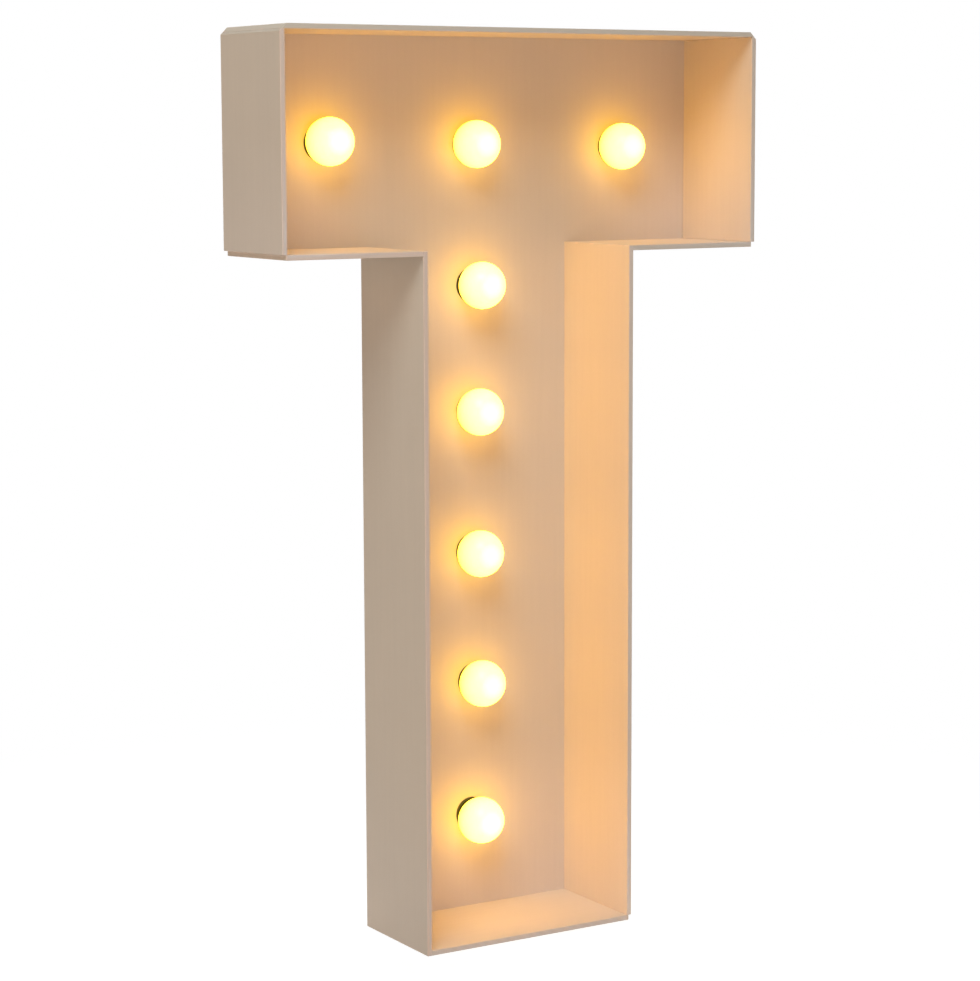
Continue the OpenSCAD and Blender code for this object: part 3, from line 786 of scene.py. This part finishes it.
class LETTER_OT_lampholders(bpy.types.Operator):
    """Finishes the lampholders with their contacts, terminals and screws"""

    bl_idname = "letter.lampholders"
    bl_label = "Lampholders"

    def execute(self, context):
        dark = (0.016, 0.014, 0.013)
        black = moulded(
            "holder_plastic", dark, roughness=0.42, grain=1500.0, depth=0.03 * MM, shade=0.12
        )
        brass = bright_metal("contact_brass", (0.78, 0.56, 0.24), (0.48, 0.31, 0.13), roughness=0.3)
        steel = bright_metal(
            "holder_screw_steel", (0.62, 0.63, 0.64), (0.44, 0.42, 0.4), roughness=0.3
        )
        for k in BULBS:
            dress(f"lampholder_{k}", black)
        dress("lampholder_caps", black)
        for node in ("lampholder_shells", "lampholder_contacts", "lampholder_terminals"):
            dress(node, brass)
        for node in ("lampholder_terminal_screws", "lampholder_screws", "lampholder_cap_screws"):
            dress(node, steel)
        return {"FINISHED"}


class LETTER_OT_wiring(bpy.types.Operator):
    """Finishes the cable links, the terminal block and the lead wires"""

    bl_idname = "letter.wiring"
    bl_label = "Wiring"

    def execute(self, context):
        sheath = moulded(
            "cable_sheath", (0.02, 0.02, 0.02), roughness=0.5, grain=800.0, depth=0.04 * MM, shade=0.1
        )
        block = moulded(
            "block_plastic", (0.74, 0.73, 0.69), roughness=0.35, grain=1100.0, depth=0.02 * MM
        )
        lead = moulded(
            "lead_sheath", (0.1, 0.042, 0.017), roughness=0.4, grain=1300.0, depth=0.02 * MM, shade=0.1
        )
        dress("cable_links", sheath)
        dress("terminal_block", block)
        dress("lead_wires", lead)
        return {"FINISHED"}


class LETTER_OT_cover(bpy.types.Operator):
    """Builds the moulded wiring cover and its screws"""

    bl_idname = "letter.cover"
    bl_label = "Wiring cover"

    def execute(self, context):
        look = context.scene.letter_finish
        mesh = bmesh.new()
        low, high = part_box("rear_cover")
        thick, fillet, edge, draft = 2.5 * MM, 2.5 * MM, 3.0 * MM, 0.4 * MM
        flange_in, flange_y = 18.0 * MM, low.y + thick
        sections = [
            (low.y, flange_in + 0.4 * MM, 0.0),
            (low.y + 0.4 * MM, flange_in, 0.0),
            (flange_y - 0.5 * MM, flange_in, 0.0),
            (flange_y - 0.15 * MM, flange_in + 0.15 * MM, 0.0),
            (flange_y, flange_in + 0.5 * MM, 0.0),
        ]
        for angle in quarter(6):
            y = flange_y + fillet * (1 - math.cos(angle))
            sections.append((y, COVER_IN - fillet + fillet * math.sin(angle), 0.0))
        for angle in quarter(8):
            in_by = edge * (1 - math.cos(angle))
            sections.append((high.y - edge + edge * math.sin(angle), COVER_IN + draft + in_by, in_by))
        outer = [self.ring(mesh, *section) for section in sections]
        inner = [self.ring(mesh, y, COVER_IN + thick, thick) for y in (low.y, high.y - thick)]
        bridge(mesh, [inner[1], inner[0], *outer])
        openings = [self.opening(node) for node in ("switch_body", "inlet_body")]
        faces = [
            (outer[-1], [add_ring(mesh, [(x, high.y, z) for x, z in hole]) for hole in openings]),
            (inner[1], [add_ring(mesh, [(x, high.y - thick, z) for x, z in hole]) for hole in openings]),
        ]
        for rim, holes in faces:
            edges = []
            for loop in (rim, *holes):
                for a, b in zip(loop, loop[1:] + loop[:1]):
                    edges.append(mesh.edges.get((a, b)) or mesh.edges.new((a, b)))
            bmesh.ops.triangle_fill(mesh, use_beauty=True, edges=edges)
        for near, far in zip(faces[0][1], faces[1][1]):
            bridge(mesh, [near, far])
        plastic = moulded(
            "cover_plastic", look.cover, roughness=0.46, grain=1150.0, depth=0.05 * MM, shade=0.04
        )
        keep_flats(
            add_piece("wiring_cover", mesh, "case", [plastic], ["rear_cover"], sharp=50)
        )
        steel = bright_metal("cover_screw_steel", *STEEL, roughness=0.3)
        screws = bmesh.new()
        for n, box in enumerate(solids_of("rear_cover_screws")):
            pan_head(screws, box, 0.7 * n)
        add_piece("cover_screws", screws, "case", [steel], ["rear_cover_screws"], sharp=40)
        return {"FINISHED"}

    def opening(self, node):
        """The hole in the cover for the body of the switch or of the inlet."""
        low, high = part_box(node)
        middle = (low + high) / 2
        wide, tall = (13.3, 19.3) if node == "switch_body" else (20.0, 13.0)
        return [
            (middle.x + x, middle.z + z) for x, z in rounded(wide * MM, tall * MM, 0.6 * MM, 3)
        ]

    def ring(self, mesh, y, inset, foot):
        """The letter's outline drawn in by an inset, with round corners."""
        case_high = CAD_BOX[1]
        round_out, round_in, least = 8.0 * MM, 3.0 * MM, 0.8 * MM
        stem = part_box("stem_right_panel")[1].x - inset
        bar = case_high.x - inset
        top = case_high.z - inset
        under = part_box("bar_underside_right")[0].z + inset
        corners = [(stem, foot), (stem, under), (bar, under), (bar, top)]
        corners += [(-x, z) for x, z in reversed(corners)]
        deeper = inset - COVER_IN
        points = []
        for n, corner in enumerate(corners):
            here = Vector(corner)
            back = (Vector(corners[n - 1]) - here).normalized()
            on = (Vector(corners[(n + 1) % len(corners)]) - here).normalized()
            inside = corner[1] == under and abs(corner[0]) == stem
            radius = max(least, round_in + deeper if inside else round_out - max(deeper, 0.0))
            middle = here + radius * (back + on)
            for turn in quarter(8):
                p = middle - radius * (on * math.cos(turn) + back * math.sin(turn))
                points.append((p.x, y, p.y))
        return add_ring(mesh, points)


class LETTER_OT_switch(bpy.types.Operator):
    """Builds the frame of the switch and its rocker with the signs for on and off"""

    bl_idname = "letter.switch"
    bl_label = "Switch"

    def execute(self, context):
        grain = 1600.0
        black = moulded(
            "switch_plastic", (0.018, 0.017, 0.016), roughness=0.38, grain=grain, depth=0.03 * MM, shade=0.1
        )
        gloss = moulded(
            "rocker_plastic", (0.024, 0.022, 0.021), roughness=0.24, grain=grain, depth=0.01 * MM, shade=0.1
        )
        white = moulded("rocker_sign", (0.8, 0.79, 0.76), roughness=0.5, grain=grain, depth=0.02 * MM)
        brass = bright_metal("switch_brass", (0.78, 0.57, 0.26), (0.5, 0.33, 0.15), roughness=0.3)
        dress("switch_terminals", brass)
        self.add_frame(black)
        self.add_rocker([gloss, white])
        return {"FINISHED"}

    def add_frame(self, finish):
        """The switch's body with the frame that stands round its rocker."""
        low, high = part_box("switch_body")
        face = high.y
        cover = face - 2.0 * MM
        wide, tall = high.x - low.x, high.z - low.z
        body, wall, deep = 2.6 * MM, 1.1 * MM, 6.0 * MM
        hole_wide, hole_tall = wide - body - 2 * wall, tall - body - 2 * wall
        sections = [
            (wide - body, tall - body, 0.6 * MM, low.y),
            (wide - body, tall - body, 0.6 * MM, cover),
            (wide - 0.2 * MM, tall - 0.2 * MM, 1.6 * MM, cover),
            (wide, tall, 1.7 * MM, cover + 0.2 * MM),
            (wide, tall, 1.7 * MM, face - 0.7 * MM),
            (wide - 0.4 * MM, tall - 0.4 * MM, 1.5 * MM, face - 0.2 * MM),
            (wide - 1.2 * MM, tall - 1.2 * MM, 1.2 * MM, face),
            (hole_wide + 0.5 * MM, hole_tall + 0.5 * MM, 0.7 * MM, face),
            (hole_wide, hole_tall, 0.5 * MM, face - 0.3 * MM),
            (hole_wide, hole_tall, 0.5 * MM, cover - deep),
        ]
        mesh = bmesh.new()
        add_shell(mesh, (low + high) / 2, sections)
        add_piece("switch_frame", mesh, "case", [finish], ["switch_body"], sharp=50)

    def add_rocker(self, finishes):
        """A rocker with two hollowed faces, pressed at its upper end."""
        joint = next(j for j in frame["joints"] if j["name"] == "rocker_tilt")
        pivot = Vector(joint["pos_m"])
        half_long, half_wide = 8.05 * MM, 4.95 * MM
        taper, end, dip, foot, deep = 1.2 * MM, 4.0 * MM, 2.6 * MM, 5.5 * MM, 2.4 * MM
        shoulder = half_long - taper
        pin, pin_end, crown_steps = 1.2 * MM, 6.2 * MM, 24

        def crown(z):
            """Height of the hollowed faces over the pivot."""
            return dip + (end - dip) * (abs(z) / shoulder) ** 1.5 - 0.05 * MM

        heights = [-shoulder + 2 * shoulder * n / crown_steps for n in range(crown_steps + 1)]
        outline = [(crown(z), z) for z in heights]
        outline += [(end - 0.6 * MM, shoulder + 0.22 * MM), (0.0, half_long)]
        outline += [(-deep, foot), (-deep, -foot), (0.0, -half_long)]
        outline += [(end - 0.6 * MM, -shoulder - 0.22 * MM)]
        mesh = bmesh.new()
        sides = ((-half_wide, 0.35), (-half_wide + 0.12 * MM, 0.1), (-half_wide + 0.4 * MM, 0.0))
        sides = sides + tuple((-x, ease) for x, ease in reversed(sides))
        rings = []
        for x, ease in sides:
            rings.append(add_ring(mesh, [(x, y - ease * MM * (y > 0), z) for y, z in outline]))
        solid(mesh, rings)
        for side in (-1, 1):
            ends = []
            for x in (side * half_wide, side * pin_end):
                ends.append(add_ring(mesh, [(x, pin * math.sin(a), pin * math.cos(a)) for a in circle(20)]))
            solid(mesh, ends)
        self.add_signs(mesh, crown, 0.56 * shoulder)
        tilt = Matrix.Translation(pivot) @ Matrix.Rotation(math.radians(10.0), 4, "X")
        mesh.transform(tilt)
        add_piece("rocker", mesh, "rocker", finishes, ["switch_rocker"], sharp=40)

    def add_signs(self, mesh, crown, middle):
        """A bar at the end pressed for on and a ring at the end pressed for off."""
        proud = 0.06 * MM
        bar = [(x, middle + z) for x, z in rounded(0.7 * MM, 3.4 * MM, 0.3 * MM, 3)]
        faces = []
        for rise in (-proud, proud):
            faces.append(add_ring(mesh, [(x, crown(z) + rise, z) for x, z in bar]))
        solid(mesh, faces, index=1)
        outside, inside = 1.75 * MM, 1.15 * MM
        loops = []
        for r, rise in ((outside, -proud), (outside, proud), (inside, proud), (inside, -proud)):
            points = [(r * math.cos(a), -middle + r * math.sin(a)) for a in circle(40)]
            loops.append(add_ring(mesh, [(x, crown(z) + rise, z) for x, z in points]))
        bridge(mesh, loops + loops[:1], index=1)


class LETTER_OT_inlet(bpy.types.Operator):
    """Builds the inlet for the mains lead, its pins and its screws"""

    bl_idname = "letter.inlet"
    bl_label = "Inlet"

    def execute(self, context):
        black = moulded(
            "inlet_plastic", (0.017, 0.016, 0.015), roughness=0.4, grain=1400.0, depth=0.03 * MM, shade=0.1
        )
        low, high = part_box("inlet_body")
        wide, tall = high.x - low.x, high.z - low.z
        face, cover = high.y, high.y - 2.5 * MM
        socket, slot, walls, deep = 15.6 * MM, 8.6 * MM, 4.0 * MM, 13.0 * MM
        sections = [
            (socket + walls, slot + walls, 1.0 * MM, low.y),
            (socket + walls, slot + walls, 1.0 * MM, cover),
            (wide - 0.4 * MM, tall - 0.4 * MM, tall / 2 - 0.2 * MM, cover),
            (wide, tall, tall / 2, cover + 0.2 * MM),
            (wide, tall, tall / 2, face - 0.8 * MM),
            (wide - 0.5 * MM, tall - 0.5 * MM, tall / 2 - 0.25 * MM, face - 0.25 * MM),
            (wide - 1.6 * MM, tall - 1.6 * MM, tall / 2 - 0.8 * MM, face),
            (socket + 1.0 * MM, slot + 1.0 * MM, slot / 2 + 0.5 * MM, face),
            (socket + 0.2 * MM, slot + 0.2 * MM, slot / 2 + 0.1 * MM, face - 0.3 * MM),
            (socket, slot, slot / 2, face - 0.7 * MM),
            (socket, slot, slot / 2, face - deep),
        ]
        mesh = bmesh.new()
        add_shell(mesh, (low + high) / 2, sections, steps=12)
        add_piece("inlet", mesh, "case", [black], ["inlet_body"], sharp=45)
        steel = bright_metal("inlet_screw_steel", *STEEL, roughness=0.3)
        screws = bmesh.new()
        for n, box in enumerate(solids_of("inlet_screws")):
            pan_head(screws, box, 0.4 + 1.1 * n)
        add_piece("inlet_screw_heads", screws, "case", [steel], ["inlet_screws"], sharp=40)
        self.add_pins()
        return {"FINISHED"}

    def add_pins(self):
        """Round-ended contact pins, each with its flat tab behind."""
        nickel = bright_metal("pin_nickel", (0.74, 0.72, 0.68), (0.5, 0.47, 0.42), roughness=0.22)
        r, tab_wide, tab_long, tab_tall = 1.2 * MM, 0.8 * MM, 8.0 * MM, 4.8 * MM
        mesh = bmesh.new()
        for low, high in solids_of("inlet_pins"):
            axis = (low + high) / 2
            outline = [(r, low.y + tab_long), (r, high.y - r)]
            for n in range(1, 7):
                angle = math.pi / 2 * n / 6.5
                outline.append((r * math.cos(angle), high.y - r + r * math.sin(angle)))
            lathe(mesh, axis, outline, turns=24, close=(True, True))
            place = Matrix.Translation((axis.x, low.y + tab_long / 2, axis.z))
            size = Matrix.Diagonal((tab_wide, tab_long, tab_tall, 1.0))
            tab = bmesh.ops.create_cube(mesh, size=1.0, matrix=place @ size)
            edges = {e for v in tab["verts"] for e in v.link_edges}
            bmesh.ops.bevel(
                mesh, geom=list(edges), offset=0.15 * MM, segments=2, profile=0.5, affect="EDGES"
            )
        add_piece("inlet_contact_pins", mesh, "case", [nickel], ["inlet_pins"], sharp=40)


class LETTER_OT_stage(bpy.types.Operator):
    """Sets the floor, the studio light and the camera"""

    bl_idname = "letter.stage"
    bl_label = "Stage"

    def execute(self, context):
        stage = context.scene.letter_stage
        self.add_floor()
        self.light_room(context.scene, stage.room_light)
        for name, (place, width, share, colour) in LAMPS.items():
            self.add_lamp(name, place, width, share * stage.lamp_power, colour)
        self.add_camera(context.scene, stage)
        context.scene.view_settings.view_transform = "Standard"
        return {"FINISHED"}

    def split(self, nodes, lit, shown):
        """One shader that lights the room and another for the camera, a mirror or a view through glass."""
        path = nodes.add("ShaderNodeLightPath", out="Is Camera Ray")
        direct = path.most(path.part("Is Glossy Ray")).most(path.part("Is Transmission Ray"))
        return nodes.add("ShaderNodeMixShader", inputs={0: direct, 1: lit, 2: shown})

    def add_floor(self):
        """A pale floor, white to the eye but for the soft shadow under the letter."""
        half_wide, shadow, clear = 30.0, 0.3, 1.0
        mesh = bmesh.new()
        bmesh.ops.create_grid(mesh, x_segments=8, y_segments=8, size=half_wide)
        data = bpy.data.meshes.new("floor")
        mesh.to_mesh(data)
        mesh.free()
        nodes = new_material("pale_floor")
        plain = nodes.add("ShaderNodeBsdfDiffuse", inputs={"Color": (0.8, 0.79, 0.77)})
        faint = nodes.add("ShaderNodeBsdfDiffuse", inputs={"Color": (0.4, 0.4, 0.4)})
        white = nodes.add("ShaderNodeEmission", inputs={"Color": (0.78, 0.78, 0.78)})
        near = nodes.add("ShaderNodeAddShader", inputs={0: faint, 1: white})
        away = nodes.add("ShaderNodeEmission", inputs={"Color": (1.0, 1.0, 1.0)})
        reach = nodes.add("ShaderNodeVectorMath", {"operation": "LENGTH"}, {0: nodes.place()}, out=1)
        inputs = {0: reach.rise(shadow, clear), 1: near, 2: away}
        shown = nodes.add("ShaderNodeMixShader", inputs=inputs)
        nodes.add("ShaderNodeOutputMaterial", inputs={"Surface": self.split(nodes, plain, shown)})
        data.materials.append(nodes.owner)
        floor = bpy.data.objects.new("floor", data)
        bpy.context.scene.collection.objects.link(floor)

    def light_room(self, scene, colour):
        """Even light from all round, with a white background to the eye."""
        scene.world = bpy.data.worlds.new("Room")
        nodes = Nodes(scene.world)
        light = nodes.add("ShaderNodeBackground", inputs={"Color": colour, "Strength": 1.0})
        white = nodes.add("ShaderNodeBackground", inputs={"Color": (1.0, 1.0, 1.0), "Strength": 1.0})
        nodes.add("ShaderNodeOutputWorld", inputs={"Surface": self.split(nodes, light, white)})

    def add_lamp(self, name, place, size, power, colour):
        """A round soft lamp aimed at the middle of the letter."""
        data = bpy.data.lights.new(name, "AREA")
        data.shape = "DISK"
        data.size = size
        data.energy = power
        data.color = colour
        lamp = bpy.data.objects.new(name, data)
        lamp.location = place
        middle = (CAD_BOX[0] + CAD_BOX[1]) / 2
        lamp.rotation_euler = (middle - Vector(place)).to_track_quat("-Z", "Y").to_euler()
        bpy.context.scene.collection.objects.link(lamp)

    def add_camera(self, scene, stage):
        """A camera that stands and looks as the one that took the photo did."""
        yaw, pitch, roll = stage.camera_yaw, stage.camera_pitch, stage.camera_roll
        ahead = Vector(
            (math.sin(yaw) * math.cos(pitch), math.cos(yaw) * math.cos(pitch), -math.sin(pitch))
        )
        right = Vector((math.cos(yaw), -math.sin(yaw), 0.0))
        down = ahead.cross(right)
        across = right * math.cos(roll) + down * math.sin(roll)
        up = right * math.sin(roll) - down * math.cos(roll)
        data = bpy.data.cameras.new("Camera")
        data.sensor_width = 36.0
        data.lens = stage.lens
        camera = bpy.data.objects.new("Camera", data)
        turn = Matrix((across, up, -ahead)).transposed()
        camera.matrix_world = Matrix.Translation(Vector(stage.camera_place)) @ turn.to_4x4()
        scene.collection.objects.link(camera)
        scene.camera = camera


class LETTER_PT_sidebar(bpy.types.Panel):
    """Lists the letter's settings and the steps that build it"""

    bl_label = "Light-up letter"
    bl_idname = "LETTER_PT_sidebar"
    bl_space_type = "VIEW_3D"
    bl_region_type = "UI"
    bl_category = "Letter"

    def draw(self, context):
        for group in SETTINGS:
            settings = getattr(context.scene, group)
            box = self.layout.box()
            for name in settings.__annotations__:
                box.prop(settings, name)
        for step in STEPS:
            self.layout.operator(step.bl_idname)


SETTINGS = {"letter_finish": LetterFinish, "letter_glow": LetterGlow, "letter_stage": LetterStage}
STEPS = (
    LETTER_OT_boards,
    LETTER_OT_bulbs,
    LETTER_OT_lampholders,
    LETTER_OT_wiring,
    LETTER_OT_cover,
    LETTER_OT_switch,
    LETTER_OT_inlet,
    LETTER_OT_stage,
)


def register():
    for kind in (*SETTINGS.values(), *STEPS, LETTER_PT_sidebar):
        bpy.utils.register_class(kind)
    for name, kind in SETTINGS.items():
        setattr(bpy.types.Scene, name, bpy.props.PointerProperty(type=kind))


def unregister():
    for name in SETTINGS:
        delattr(bpy.types.Scene, name)
    for kind in reversed((*SETTINGS.values(), *STEPS, LETTER_PT_sidebar)):
        bpy.utils.unregister_class(kind)


def main():
    register()
    bpy.ops.letter.boards()
    bpy.ops.letter.bulbs()
    bpy.ops.letter.lampholders()
    bpy.ops.letter.wiring()
    bpy.ops.letter.cover()
    bpy.ops.letter.switch()
    bpy.ops.letter.inlet()
    bpy.ops.letter.stage()


if __name__ == "__main__":
    main()
